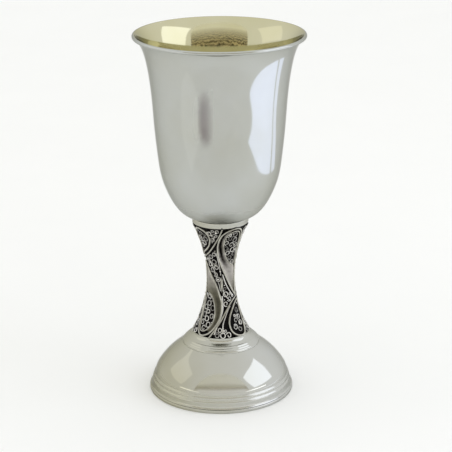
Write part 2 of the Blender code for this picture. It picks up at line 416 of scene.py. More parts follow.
def baked(name, mesh, tree, **inputs):
    """Runs a tree on a drawing and keeps the result as a plain mesh."""
    source = new_object(f"{name}_drawing", mesh)
    modifier = source.modifiers.new("Make", "NODES")
    modifier.node_group = tree
    for socket in tree.interface.items_tree:
        label = socket.name.replace(" ", "_")
        if socket.in_out == "INPUT" and label in inputs:
            modifier[socket.identifier] = inputs[label]
    depsgraph = bpy.context.evaluated_depsgraph_get()
    made = bpy.data.meshes.new_from_object(source.evaluated_get(depsgraph), depsgraph=depsgraph)
    bpy.data.objects.remove(source)
    made.name = name
    return new_object(name, made)


# -------------------- finishes


def new_finish(name):
    finish = bpy.data.materials.new(name)
    finish.use_nodes = True
    tree = finish.node_tree
    tree.nodes.clear()
    place = put(tree, "TexCoord")["Object"]
    return finish, tree, place


def end_finish(tree, **inputs):
    put(tree, "OutputMaterial", Surface=put(tree, "BsdfPrincipled", **inputs)[0])


def cloud(tree, place, size, detail=3.0, rough=0.55):
    """Soft noise whose blotches are about this many mm across."""
    return put(tree, "TexNoise", Vector=place, Scale=0.5 / (size * MM), Detail=detail, Roughness=rough)[0]


def mottled(tree, factor, low, high, first, second):
    """Two colours in one: the first where the factor is below low, the second where it is above high."""
    share = put(tree, "MapRange", factor, low, high)[0]
    return put(tree, "Mix", share, A=first, B=second, data_type="RGBA")["Result"]


def rings_of(tree, place, spacing):
    """Fine level lines left by the spinning tool, so many mm apart, slightly uneven."""
    level = put(tree, "Mapping", Vector=place, Scale=(0.02, 0.02, 1.0))[0]
    return cloud(tree, level, spacing, detail=2.0, rough=0.7)


def spun_skin(tree, place, spacing, strength, blotch, depth):
    """Grooves left by the spinning tool, over slow waves so many mm across and deep in the sheet."""
    lines = rings_of(tree, place, spacing)
    grooved = put(tree, "Bump", Height=lines, Strength=strength, Distance=0.004 * MM)[0]
    wave = cloud(tree, place, blotch, detail=1.0)
    return put(tree, "Bump", Height=wave, Strength=0.6, Distance=depth * MM, Normal=grooved)[0]


def polished_silver():
    """Spun, polished sterling: a soft mirror, faint level lines, and a warm painted shade on the left side."""
    finish, tree, place = new_finish("polished_silver")
    breath = cloud(tree, place, 14.0)
    across = put(tree, "SeparateXYZ", place)[0]
    # Painted shade: the tone slides to the darker, warmer colour towards the left, over random tarnish.
    left_side_shade = put(tree, "MapRange", across, 20 * MM, -22 * MM, -0.1, 0.75)[0]
    tarnish_and_shade = put(tree, "Math", breath, 0.5, left_side_shade, operation="MULTIPLY_ADD")[0]
    tint = mottled(tree, tarnish_and_shade, 0.1, 1.0, "#c6c7c5", "#adaa96")
    handled = cloud(tree, place, 5.0, detail=6.0, rough=0.7)
    gloss = put(tree, "MapRange", handled, 0.3, 0.75, 0.05, 0.11)[0]
    skin = spun_skin(tree, place, 0.35, 0.25, 9.0, 0.05)
    end_finish(tree, Base_Color=tint, Metallic=1.0, Roughness=gloss, Normal=skin, Specular_Tint=DULL_EDGE)
    return finish


def parcel_gilt_silver():
    """Silver outside and a thin lemon-gold wash inside, which wears back to silver at the lip."""
    finish, tree, place = new_finish("parcel_gilt_silver")
    breath = cloud(tree, place, 16.0)
    silver = mottled(tree, breath, 0.35, 0.7, "#bfc1be", "#b9bab2")
    gold = mottled(tree, breath, 0.3, 0.7, "#cdc9ad", "#c5c09c")
    wash = put(tree, "Attribute", attribute_name="gilding")["Fac"]
    worn = cloud(tree, place, 3.0, detail=4.0)
    edge = put(tree, "Math", worn, 0.35, wash, operation="MULTIPLY_ADD")[0]
    tint = mottled(tree, edge, 0.25, 0.85, silver, gold)
    handled = cloud(tree, place, 6.0, detail=6.0, rough=0.7)
    mirror = put(tree, "MapRange", handled, 0.3, 0.75, 0.05, 0.1)[0]
    height = put(tree, "SeparateXYZ", place)[2]
    unburnished = put(tree, "MapRange", height, 88 * MM, 77 * MM, 0.0, 0.34)[0]
    gloss = put(tree, "Math", mirror, unburnished, operation="ADD")[0]
    skin = spun_skin(tree, place, 0.5, 0.2, 12.0, 0.06)
    end_finish(tree, Base_Color=tint, Metallic=1.0, Roughness=gloss, Normal=skin, Specular_Tint=DULL_EDGE)
    return finish


def height_over_ground(tree, place):
    """How far a point stands out from the stem's outline, in mm: 0 on the outline, below 0 inside it."""
    drawn = put(tree, "SeparateXYZ", place)
    swell = swell_at(tree, drawn[2], STEM_MIDDLE, WAIST_SPREAD)
    radius = put(tree, "Math", swell, WAIST_RADIUS, operation="MULTIPLY")[0]
    level = put(tree, "CombineXYZ", drawn[0], drawn[1])[0]
    reach = put(tree, "VectorMath", level, operation="LENGTH")["Value"]
    proud = put(tree, "Math", reach, radius, operation="SUBTRACT")[0]
    return put(tree, "Math", proud, 1.0 / MM, operation="MULTIPLY")[0]


def oxidised_openwork(name, dark_below, bright_above, bright, dull, lower_half_shade=0.0):
    """Sulphide-dipped silver polished bright, black in hollows, with a painted highlight on tops and shade
    below.

    The last argument sets how much the lower half of the stem takes the dull colour, as painted shade there.
    """
    smoothest, roughest = 0.14, 0.26
    grime_depth, half_grime = 0.35, 0.17
    finish, tree, place = new_finish(name)
    stand = height_over_ground(tree, place)
    grime = cloud(tree, place, 0.8, detail=4.0)
    uneven = put(tree, "Math", grime, grime_depth, stand, operation="MULTIPLY_ADD")[0]
    # Real oxide in hollows plus painted light: by height, bright tops as highlight, black low sides as shade.
    buffed_and_highlit = put(tree, "MapRange", uneven, dark_below + half_grime, bright_above + half_grime)[0]
    brown = cloud(tree, place, 2.5)
    height = put(tree, "SeparateXYZ", place)[2]
    # Painted shade: the lower half of the stem is pushed towards the dull colour.
    lower = put(tree, "MapRange", height, STEM_MIDDLE + 6 * MM, STEM_MIDDLE - 6 * MM, 0.0, lower_half_shade)[0]
    blotched = put(tree, "MapRange", brown, 0.4, 0.75, 0.0, 0.8)[0]
    tarnish_and_shade = put(tree, "Math", blotched, lower, operation="MAXIMUM")[0]
    clean = put(tree, "Mix", tarnish_and_shade, A=bright, B=dull, data_type="RGBA")["Result"]
    tint = put(tree, "Mix", buffed_and_highlit, A="#0d0a08", B=clean, data_type="RGBA")["Result"]
    gloss = put(tree, "MapRange", buffed_and_highlit, 0.0, 1.0, 0.55, (smoothest + roughest) / 2)[0]
    scratched = cloud(tree, place, 0.5, detail=5.0, rough=0.7)
    gloss = put(tree, "Math", scratched, roughest - smoothest, gloss, operation="MULTIPLY_ADD")[0]
    dented = put(tree, "Bump", Height=scratched, Strength=0.5, Distance=0.02 * MM)[0]
    end_finish(tree, Base_Color=tint, Metallic=1.0, Roughness=gloss, Normal=dented)
    return finish


def blackened_ground():
    """The core behind the openwork, matted with a punch and left black by the sulphide."""
    finish, tree, place = new_finish("blackened_ground")
    blotch = cloud(tree, place, 2.0, detail=5.0)
    tint = mottled(tree, blotch, 0.4, 0.8, "#050404", "#171210")
    punched = put(tree, "TexVoronoi", Vector=place, Scale=1.0 / (0.35 * MM), feature="F1")["Distance"]
    matted = put(tree, "Bump", Height=punched, Strength=0.8, Distance=0.06 * MM)[0]
    gloss = put(tree, "MapRange", blotch, 0.3, 0.8, 0.6, 0.85)[0]
    end_finish(tree, Base_Color=tint, Metallic=0.4, Roughness=gloss, Normal=matted, Specular_IOR_Level=0.2)
    return finish


def zinc_plated_steel():
    """Plated fasteners: a bluish satin grey with turning marks and dull blotches."""
    finish, tree, place = new_finish("zinc_plated_steel")
    blotch = cloud(tree, place, 2.0, detail=5.0)
    tint = mottled(tree, blotch, 0.35, 0.7, "#b9bcbf", "#8f9294")
    lines = rings_of(tree, place, 0.12)
    turned = put(tree, "Bump", Height=lines, Strength=0.3, Distance=0.01 * MM)[0]
    gloss = put(tree, "MapRange", blotch, 0.3, 0.7, 0.28, 0.5)[0]
    end_finish(tree, Base_Color=tint, Metallic=1.0, Roughness=gloss, Normal=turned)
    return finish


# -------------------- turned and spun pieces

BOWL_OUTLINE = [
    (33.35, 148.7), (32.2, 147.4), (30.4, 144.4), (28.6, 137.6), (27.0, 125.4), (26.35, 112.3), (25.0, 100.0),
    (23.9, 90.7), (18.9, 79.9), (14.1, 75.3), (8.0, 74.3), (0.0, 74.2),
]
LIP_RADIUS = 0.72
LIP_ARC = (160.0, -120.0)


def bowl(finish):
    """Spun bell bowl with a rolled lip, silver outside and gilt inside."""
    outer = outline(BOWL_OUTLINE, 12)
    outer[-1] = (0.0, outer[-1][1])
    inner = [point for point in offset(outer, -SHEET / MM) if point[0] > 0.05]
    inner.append((0.0, outer[-1][1] + SHEET / MM))
    lip_centre = (RIM_RADIUS / MM - LIP_RADIUS, HEIGHT / MM - LIP_RADIUS)
    lip = arc(lip_centre, LIP_RADIUS, *LIP_ARC, 18)
    profile = [*outer, *reversed(inner), *lip]
    piece = lathe("bowl_shell", profile, finish, sharp=60.0)
    wash = piece.data.attributes.new("gilding", "FLOAT", "POINT")
    first_angle, last_angle = LIP_ARC
    shares = [0.0] * len(outer) + [1.0] * len(inner)
    for i in range(len(lip)):
        angle = first_angle + (last_angle - first_angle) * i / (len(lip) - 1)
        shares.append(min(max((angle - GILDING_STARTS) / GILDING_FADE, 0.0), 1.0))
    values = []
    for share, (radius, _) in zip(shares, profile):
        values += [share] * (1 if radius < ON_AXIS else LATHE_STEPS)
    wash.data.foreach_set("value", values)
    stands_for(piece, "bowl", "lip_wire")


def upper_collar(finish):
    """The plain band between the bowl and the openwork, drawn up against the bowl."""
    low, high, edge = bounds_mm("upper_collar")
    band = [
        (edge - 2.4, high), (edge - 0.6, high + 0.38), *arc((edge - 0.44, high + 0.24), 0.12, 90, 0, 4),
        (edge - 0.42, high - 0.3), (edge - 0.56, high - 0.9),
        (edge - 0.62, low + 0.5), (edge - 0.62, low + 0.12),
        *arc((edge - 0.74, low + 0.12), 0.12, 0, -90, 4),
        (edge - 1.6, low), (edge - 5.1, low), (edge - 5.1, high),
    ]
    piece = lathe("collar_under_bowl", band, finish, sharp=35.0)
    stands_for(piece, "upper_collar")


def lower_collar(finish):
    """The hollowed band that the openwork stands on."""
    low, high, edge = bounds_mm("lower_collar")
    cove = outline(
        [(11.55, high), (11.5, high - 0.5), (11.7, high - 1.1), (12.4, low + 0.4), (13.3, low + 0.05)], 6
    )
    skirt = [(edge, low - 0.28), (BORE, low - 0.28), (BORE, high)]
    piece = lathe("collar_over_foot", [*cove, *skirt], finish, sharp=35.0)
    stands_for(piece, "lower_collar")


def shoulder_ring(finish):
    """Three fine turned steps, one below the other, where the foot springs out."""
    low, high, _ = bounds_mm("shoulder_ring")
    drop = (high - low) / 3
    steps = []
    for i, edge in enumerate((14.3, 15.02, 15.66)):
        top = high - i * drop
        steps += [(edge - 0.12, top - 0.02), (edge, top - 0.1)]
        steps += [(edge + 0.27, top - drop * 0.82), (edge + 0.4, top - drop * 0.97)]
    steps[-1] = (15.98, low - 0.3)
    profile = [(BORE, high), (13.6, high + 0.05), *steps, (BORE, low - 0.3)]
    piece = lathe("foot_reeds", profile, finish, sharp=50.0)
    stands_for(piece, "shoulder_ring")


def foot(finish):
    """Spun dome with two fine steps above a hollowed flange, one sheet thick."""
    _, top, _ = bounds_mm("foot_shell")
    dome = outline(
        [(16.1, top - 0.02), (18.4, 18.5), (22.5, 15.2), (26.5, 10.1), (27.5, 7.6), (27.62, 6.7)], 12
    )
    first = [(27.8, 6.45), (27.9, 6.4), (28.18, 5.75), (28.22, 5.6), (28.24, 5.0)]
    second = [(28.38, 4.75), (28.48, 4.7), (28.76, 4.05), (28.8, 3.9), (28.84, 3.4)]
    flange = outline([(28.86, 3.2), (28.92, 2.6), (29.06, 2.1), (29.3, 1.7), (29.45, 1.5)], 6)
    outer = [(2.8, top), (15.4, top), *dome, *first, *second, *flange]
    smooth_inside = outline(
        [(15.4, top), (17.4, 18.8), (22.0, 15.2), (26.0, 10.2), (27.3, 6.2), (28.0, 3.4), (29.3, 1.2)], 12
    )
    inner = offset([(2.8, top), *smooth_inside], -SHEET / MM)
    inner = [(2.8, top - SHEET / MM)] + [point for point in inner if point[0] > 3.0]
    inner[-1] = (28.6, 1.45)
    piece = lathe("foot_dome", [*outer, *reversed(inner)], finish, sharp=50.0)
    stands_for(piece, "foot_shell")


def base_ring(finish):
    """The heavy ring under the foot's edge, rounded outside and flat where it stands."""
    low, high, edge = bounds_mm("base_ring")
    profile = [
        (edge - 0.9, high + 0.3), *arc((edge - 0.5, high - 0.2), 0.5, 90, 0, 8),
        *arc((edge - 0.3, low + 0.3), 0.3, 0, -90, 6),
        (edge - 2.4, low), (edge - 2.6, low + 0.2), (edge - 2.6, high), (edge - 1.9, high + 0.25),
    ]
    piece = lathe("standing_ring", profile, finish, sharp=50.0)
    stands_for(piece, "base_ring")


def core(finish):
    """The matted black core, a little closer to the openwork than its plain solid."""
    steps = 60
    low, _, _ = bounds_mm("stem_core")
    high, _, _ = bounds_mm("upper_collar")
    waist = []
    for i in range(steps + 1):
        level = high - i * (high - low) / steps
        waist.append((stem_radius(level * MM) / MM - GROUND_DEPTH / MM, level))
    piece = lathe("stem_ground", [*waist, (BORE, low), (BORE, high)], finish, sharp=50.0)
    stands_for(piece, "stem_core", slot="oxidised_silver")


# -------------------- the openwork, drawn flat
# Places are (degrees round from the front, mm up). All of it is drawn once and repeated round the stem.

UPPER_LEAF = [
    (66, 41.6), (51, 43.8), (36.7, 46.7), (14.7, 51.8), (0, 55.9), (-8.6, 60.6), (-6.6, 65.2), (4, 69.4),
    (22, 72), (42, 72), (57, 68.6), (65.5, 61.5), (68, 52), (69, 44),
]
UPPER_EYE = [
    (50, 55), (38, 55.6), (25, 57.4), (13.8, 60.4), (8.8, 63.8), (11, 67.4), (20, 69.9), (32, 71), (45, 70.3),
    (55, 67), (59.5, 61.5), (58, 56.6),
]
UPPER_CHANNEL = (
    [
        (66, 42.2), (51, 44.1), (36.7, 47), (25, 49.8), (14.7, 52.2), (6.5, 54.4), (0, 56.3), (-5.8, 59),
        (-8.2, 61.6), (-7.4, 64.3), (-3.2, 67), (4, 69.3), (13, 71), (22, 71.8),
    ],
    [
        (68, 43.6), (68.3, 46.5), (68.2, 49.5), (67, 52.2), (62, 54.2), (50, 55), (38, 55.6), (25, 57.4),
        (15.6, 59.6), (9.6, 62.6), (9.3, 65.6), (13, 68.3), (19, 69.8), (27, 70.8),
    ],
)
LOWER_LEAF = [
    (-71.2, 56), (-57.5, 53.7), (-43, 50.9), (-20, 46.8), (-6.2, 42.8), (3.4, 38.4), (-0.4, 34), (-11.5, 30.3),
    (-28, 26.8), (-47.2, 25.6), (-62.2, 28.6), (-70.7, 36.1), (-73.2, 45.6), (-74.2, 53.6),
]
LOWER_EYE = [
    (-50, 42.4), (-37, 41.9), (-27, 39.8), (-20.2, 36.8), (-18.6, 33.6), (-23.5, 30.6), (-32, 28.5),
    (-43, 27.2), (-54, 27.6), (-62, 30.6), (-66, 35.5), (-62, 40.4),
]
LOWER_CHANNEL = (
    [
        (-71.2, 55.4), (-56.5, 53.2), (-42, 50.5), (-31, 48.6), (-20, 46.5), (-11.5, 44.4), (-5, 42.1),
        (1, 39.9), (2.7, 37.7), (0.6, 35.2), (-5, 32.7), (-12.5, 30.2), (-20.5, 28.2), (-28, 27),
    ],
    [
        (-73.2, 54), (-73.5, 51.1), (-73.4, 48.1), (-72.2, 45.2), (-66, 43.2), (-52, 42.4), (-41, 42.2),
        (-32, 41.2), (-25.4, 39.2), (-20.2, 36.8), (-18.6, 33.8), (-22, 31.2), (-28.5, 29.2), (-36, 27.9),
    ],
)
UPPER_SMALL_LEAF = [
    (-80, 58.8), (-62, 60.7), (-46, 62.2), (-33, 64.5), (-28, 67.5), (-33, 70.4), (-46, 71.9), (-60, 71.3),
    (-71, 68), (-78, 63.2),
]
UPPER_SMALL_EYE = [
    (-70, 61.4), (-56, 62.7), (-44, 64.1), (-36.5, 65.9), (-33.8, 67.8), (-38.5, 69.9), (-48, 70.8), (-59, 70),
    (-67, 67), (-71.5, 63.6),
]
LOWER_SMALL_LEAF = [
    (76, 38.8), (62, 38.8), (48, 37.4), (36, 35.4), (26.8, 33.2), (22.3, 30.3), (26, 27.6), (37, 25.9),
    (52, 25.4), (64, 27), (72, 31), (77, 35.6),
]
LOWER_SMALL_EYE = [
    (66, 36.8), (54, 36), (42, 34.2), (33, 32.2), (28.6, 30.2), (32, 28.2), (42, 26.9), (53, 26.7), (62, 28.6),
    (68.5, 32.4),
]
UPPER_BRANCH = [
    (-112, 56.2), (-101, 56.8), (-88, 57.3), (-72, 58.1), (-56, 59.1), (-38, 61), (-23.5, 63.4), (-10.3, 66.5),
    (-1.5, 69.6), (3.5, 72.7),
]
LOWER_BRANCH = [
    (-26, 24.9), (-14.7, 28.3), (0, 31.9), (14.7, 35.2), (29.3, 37.7), (44, 39.4), (60, 40.3), (78, 40.8),
    (93, 41.1), (106.8, 41.4),
]

# Fields of small curls between the leaves, as outlines the curls stay inside
CURL_FIELDS = {
    "upper_leaf_curls": [UPPER_EYE, UPPER_SMALL_EYE],
    "lower_leaf_curls": [LOWER_EYE, LOWER_SMALL_EYE],
    "field_curls": [
        [
            (-42, 72.4), (-32.5, 70.9), (-27, 67.6), (-30, 64.9), (-22, 64.9), (-11.5, 67.6), (-4, 70.2),
            (-0.5, 72.4),
        ],
        [
            (-64, 57.4), (-50, 58.6), (-38, 59.9), (-27, 61.8), (-19, 63), (-15.5, 60), (-12, 57), (-6, 54.8),
            (-3, 52.8), (-8, 50.6), (-14, 50), (-20, 48.4), (-32, 50.4), (-43, 52.4), (-55, 55),
        ],
        [
            (9.5, 50.2), (20, 47), (36, 44.2), (50, 42.2), (60, 41.4), (50, 40.8), (36, 39.4), (22, 37.4),
            (12, 35.8), (9, 38.6), (9.5, 42), (9.8, 46),
        ],
        [
            (-19, 25.3), (-10, 27.9), (0, 30.3), (4, 29.7), (10, 29), (19, 28.8), (23.5, 27), (31, 25.3),
        ],
        [
            (70.5, 58.2), (80, 58.6), (92, 59), (98, 60), (99.5, 63.4), (105, 68), (113, 71), (118, 72.4),
            (52, 72.4), (60, 69.8), (68.5, 62.6),
        ],
        [
            (72, 45.5), (71.5, 52), (70.5, 55.2), (80, 55.6), (92, 56), (103, 56.2), (104.6, 52), (105.6, 46),
            (106.4, 42.8), (93, 42.4), (78, 42), (71, 41.8),
        ],
        [
            (79, 39.4), (93, 39.8), (106, 40), (107.5, 36), (112, 31.5), (119, 27.6), (126, 25.3), (66, 25.3),
            (74, 30), (79.5, 35.5),
        ],
    ],
}
# Spaces for curls, as radii in mm, and the gap between them
CURL_SIZES = (1.2, 0.95, 0.72, 0.5)
CURL_SPACING = 0.06
# A smaller space than this is left bare or holds a bead
SMALLEST_CURL = 0.6
BEAD_SHARE = 0.4
BEAD_RADIUS = 0.28
RING_SHARE = 0.3
CURL_SEED = 11


def spline(points, per_span):
    """A Catmull-Rom curve through points of a flat drawing."""
    found = []
    last = len(points) - 1
    for i in range(last):
        a, b, c, d = (Vector(points[min(max(i + k, 0), last)]) for k in (-1, 0, 1, 2))
        for step in range(per_span):
            t = step / per_span
            found.append(
                a * (-0.5 * t + t * t - 0.5 * t**3)
                + b * (1 - 2.5 * t * t + 1.5 * t**3)
                + c * (0.5 * t + 2 * t * t - 1.5 * t**3)
                + d * (-0.5 * t * t + 0.5 * t**3)
            )
    return [*found, Vector(points[-1])]


def is_inside(boundary, place):
    """Whether a place lies inside a closed outline."""
    crossings = 0
    for (a, low), (b, high) in zip(boundary, [*boundary[1:], boundary[0]]):
        if (low > place[1]) != (high > place[1]):
            crossings += place[0] < a + (b - a) * (place[1] - low) / (high - low)
    return crossings % 2 == 1


def place_beside(place, across, up):
    """The (degrees, mm) of a place so many mm across and up from another."""
    point = beside(*place, across, up)
    return degrees(point.x), point.z / MM


def distance_between(first, second):
    level = 0.5 * (first[1] + second[1]) * MM
    return hypot(radians(first[0] - second[0]) * stem_radius(level) / MM, first[1] - second[1])


def packed_circles(boundary, sizes):
    """Circles set close together inside an outline, the big ones first, as (place, radius)."""
    packed = []
    low, high = min(h for _, h in boundary), max(h for _, h in boundary)
    left, right = min(a for a, _ in boundary), max(a for a, _ in boundary)
    step = 0.16
    for size in sizes:
        height = low
        while height < high:
            angle = left
            turn = degrees(step * MM / stem_radius(height * MM))
            while angle < right:
                place = (angle, height)
                free = all(
                    distance_between(place, other) > size + reach + CURL_SPACING for other, reach in packed
                )
                if free and is_inside(boundary, place):
                    rim = arc((0.0, 0.0), size * 0.9, 0, 320, 8)
                    if all(is_inside(boundary, place_beside(place, *spot)) for spot in rim):
                        packed.append((place, size))
                angle += turn
            height += step
    return packed


def curls(fields, chance):
    """Small wire curls and rings filling the fields, and the granules on them."""
    lines, beads = [], []
    for boundary in fields:
        for place, size in packed_circles(boundary, CURL_SIZES):
            lift = CURL_DEPTH + chance.uniform(-0.18, 0.1)
            if size < SMALLEST_CURL:
                if chance.random() < BEAD_SHARE:
                    beads.append((*place, BEAD_RADIUS))
            elif chance.random() < RING_SHARE:
                lines.append(ring_wire(place, size - 0.2, lift))
            else:
                hand = chance.choice((-1, 1))
                start, turns = chance.uniform(0, 360), chance.uniform(0.9, 1.35)
                lines.append(scroll(place, size - 0.18, start, hand, turns, lift))
    return lines, beads


def closed_strip(name, rows):
    """A closed solid from rows of points, each a closed section, with its ends capped."""
    solid = bmesh.new()
    sections = [[solid.verts.new(point) for point in row] for row in rows]
    count = len(rows[0])
    for before, after in zip(sections, sections[1:]):
        for i in range(count):
            j = (i + 1) % count
            solid.faces.new((before[i], before[j], after[j], after[i]))
    solid.faces.new(sections[0])
    solid.faces.new(list(reversed(sections[-1])))
    bmesh.ops.recalc_face_normals(solid, faces=solid.faces)
    return mesh_of(name, solid)


def hollowed_channel(name, outer_edge, inner_edge, deepening):
    """The plain strip of a large leaf: a trough, deep round the head and shallow along the broad tail."""
    outer = spline([flat(*place) for place in outer_edge], 5)
    inner = spline([flat(*place) for place in inner_edge], 5)
    across = 12
    rows = []
    for i, (a, b) in enumerate(zip(outer, inner)):
        along = i / (len(outer) - 1)
        depth = 0.2 + deepening * min(max((along - 0.25) / 0.3, 0.0), 1.0)
        front = []
        for j in range(across + 1):
            u = j / across
            point = a.lerp(b, u)
            point.y = (-0.3 - depth * sin(pi * u**0.75) ** 0.9) * MM
            front.append(point)
        back = [Vector((point.x, -GROUND_DEPTH - 0.1 * MM, point.z)) for point in reversed(front)]
        rows.append([*front, *back])
    return closed_strip(name, rows)


def petal_rows(angle, height, tilt, length, width, thick, foot_share=0.45):
    """A long drop, domed in front, laid at a place and tilted clockwise from upright."""
    lean = radians(tilt)
    rows = []
    steps, sides = 14, 12
    for i in range(steps + 1):
        t = i / steps
        rounded = sin(pi * min(max(t, 0.015), 0.985)) ** 0.7
        swell = rounded * (foot_share + (1 - foot_share) * t) * 1.25
        row = []
        for j in range(sides):
            turn = tau * j / sides
            side = 0.5 * width * swell * cos(turn)
            along = (t - 0.5) * length
            lift = -0.65 + thick * swell * sin(turn)
            across = side * cos(lean) + along * sin(lean)
            up = along * cos(lean) - side * sin(lean)
            row.append(beside(angle, height, across, up, lift))
        rows.append(row)
    return rows


def joined(name, meshes):
    """Several flat solids as one mesh."""
    together = bmesh.new()
    for mesh in meshes:
        together.from_mesh(mesh)
    return mesh_of(name, together)


def dots(name, places):
    """Granule places as (angle, height, radius in mm)."""
    points = [flat(angle, height, radius * 0.6 + CURL_DEPTH) for angle, height, radius in places]
    mesh = bpy.data.meshes.new(name)
    mesh.from_pydata(points, [], [])
    size = mesh.attributes.new("thickness", "FLOAT", "POINT")
    size.data.foreach_set("value", [radius / (GRANULE / MM) for _, _, radius in places])
    return mesh


def openwork(bright, fine, trough):
    """All the soldered wires, plates, petals and granules, one piece for each kind."""
    wrap = waist_tree()
    row = row_tree()
    wires = wire_tree(row, wrap)
    plates = plate_tree(row, wrap)
    granules = granule_tree(row, wrap)

    def kin(kind):
        return [f"{kind}_{side}_{i}" for side in ("upper", "lower") for i in (1, 2)]

    def solder(name, drawn, tree, replaced=(), **inputs):
        stands_for(baked(name, drawn, tree, **inputs), *replaced)

    outlined = (
        ("leaf_outlines", "leaf_frame", UPPER_LEAF, LOWER_LEAF, FRAME_WIRE),
        ("leaf_inner_wires", "eye_wire", UPPER_EYE, LOWER_EYE, INNER_WIRE),
        ("small_leaf_outlines", "small_leaf_frame", UPPER_SMALL_LEAF, LOWER_SMALL_LEAF, FRAME_WIRE),
    )
    for name, kind, upper, lower, wire in outlined:
        drawn = drawing(kind, [loop(upper, FRAME_LIFT), loop(lower, FRAME_LIFT)])
        solder(name, drawn, wires, kin(kind), Wire_radius=wire, Finish=bright)
    branches = drawing(
        "branches", [strand(UPPER_BRANCH, FRAME_LIFT, 0.9), strand(LOWER_BRANCH, FRAME_LIFT, 0.9)]
    )
    solder("branch_lines", branches, wires, kin("branch_wire"), Wire_radius=FRAME_WIRE, Finish=bright)
    channels = joined(
        "channels",
        [hollowed_channel("upper", *UPPER_CHANNEL, 0.42), hollowed_channel("lower", *LOWER_CHANNEL, 0.2)],
    )
    solder("leaf_channels", channels, plates, kin("channel_plate"), Finish=trough)

    chance = random.Random(CURL_SEED)
    beads = []
    for name, fields in CURL_FIELDS.items():
        lines, found = curls(fields, chance)
        beads += found
        if name == "field_curls":
            lines += [
                strand([(-66, 56.6), (-50, 57.6), (-37, 56), (-28, 53.4), (-19, 50.4), (-13, 50.2)]),
                strand([(-2, 44), (-6, 46.5), (-10.3, 47.6)]),
                strand([(0.5, 50.8), (-4, 54.2), (-9, 57.4), (-15, 61)]),
                strand([(8, 51.2), (16, 48.3), (27, 45.6), (39, 43.4), (50, 41.6)], thickness=1.3),
                strand(
                    [(4.8, 41.9), (6.2, 39.6), (6.4, 36.6), (1, 33.6), (-8, 30.2), (-15, 26.6)], thickness=1.4
                ),
                strand([(9.5, 44.5), (14, 42.8), (24, 41), (36, 39.6)]),
                strand([(4, 27), (5.2, 30.4), (13.5, 33.4), (23.5, 36), (33, 37.4)], thickness=1.2),
                strand([(-12.5, 69.4), (-17, 67.4), (-24, 65.6)]),
                ring_wire((-10.3, 49), 0.95),
            ]
            beads += [
                (-10.3, 49, 0.5), (-9.5, 70.9, 0.5), (-20.5, 69.4, 0.42), (-17.2, 68, 0.4), (-1.5, 52.6, 0.42)
            ]
            beads += [(6.5, 28.2, 0.4), (1, 40.6, 0.35)]
        drawn = drawing(name, lines)
        solder(name, drawn, wires, Wire_radius=CURL_WIRE, Sides=6, Smoothness=2, Finish=fine)
    solder("granules", dots("granules", beads), granules, ("bead_1", "bead_2"), Finish=fine)
    drops = [
        petal_rows(4.2, 46.6, 0, 8.4, 1.25, 0.5, 0.8), petal_rows(-20.0, 61.2, 28, 2.9, 1.0, 0.4),
        petal_rows(-22.0, 55.0, -24, 2.8, 0.95, 0.4),
    ]
    solids = joined("drops", [closed_strip("drop", rows) for rows in drops])
    solder("field_petals", solids, plates, ("petal_1", "petal_2"), Finish=bright)


# -------------------- the joint under the bowl


def thread_tree():
    """Cuts a screw thread into a plain upright rod: the skin sinks and rises along a helix."""
    tree, given = group_tree(
        "Screw thread", Pitch=(FLOAT, 0.8 * MM), Depth=(FLOAT, 0.22 * MM), Top=(FLOAT, 0.02),
        Finish=(FINISH, None),
    )
    place = put(tree, "GeometryNodeInputPosition")[0]
    drawn = put(tree, "SeparateXYZ", place)
    turn = put(tree, "Math", drawn[1], drawn[0], operation="ARCTAN2")[0]
    share = put(tree, "Math", turn, tau, operation="DIVIDE")[0]
    climb = put(tree, "Math", drawn[2], given["Pitch"], operation="DIVIDE")[0]
    phase = put(tree, "Math", climb, share, operation="SUBTRACT")[0]
    wave = put(tree, "Math", phase, 0.5, operation="PINGPONG")[0]
    sunk = put(tree, "Math", wave, 2.0, operation="MULTIPLY")[0]
    depth = put(tree, "Math", sunk, given["Depth"], operation="MULTIPLY")[0]
    threaded = put(tree, "Math", drawn[2], given["Top"], operation="LESS_THAN")[0]
    cut = put(tree, "Math", depth, threaded, operation="MULTIPLY")[0]
    level = put(tree, "CombineXYZ", drawn[0], drawn[1])[0]
    outward = put(tree, "VectorMath", level, operation="NORMALIZE")[0]
    inward = put(tree, "Math", cut, -1.0, operation="MULTIPLY")[0]
    move = put(tree, "VectorMath", outward, Scale=inward, operation="SCALE")[0]
    shaped = put(tree, "GeometryNodeSetPosition", Geometry=given["Geometry"], Offset=move)[0]
    finish_tree(tree, shaped, given["Finish"])
    return tree


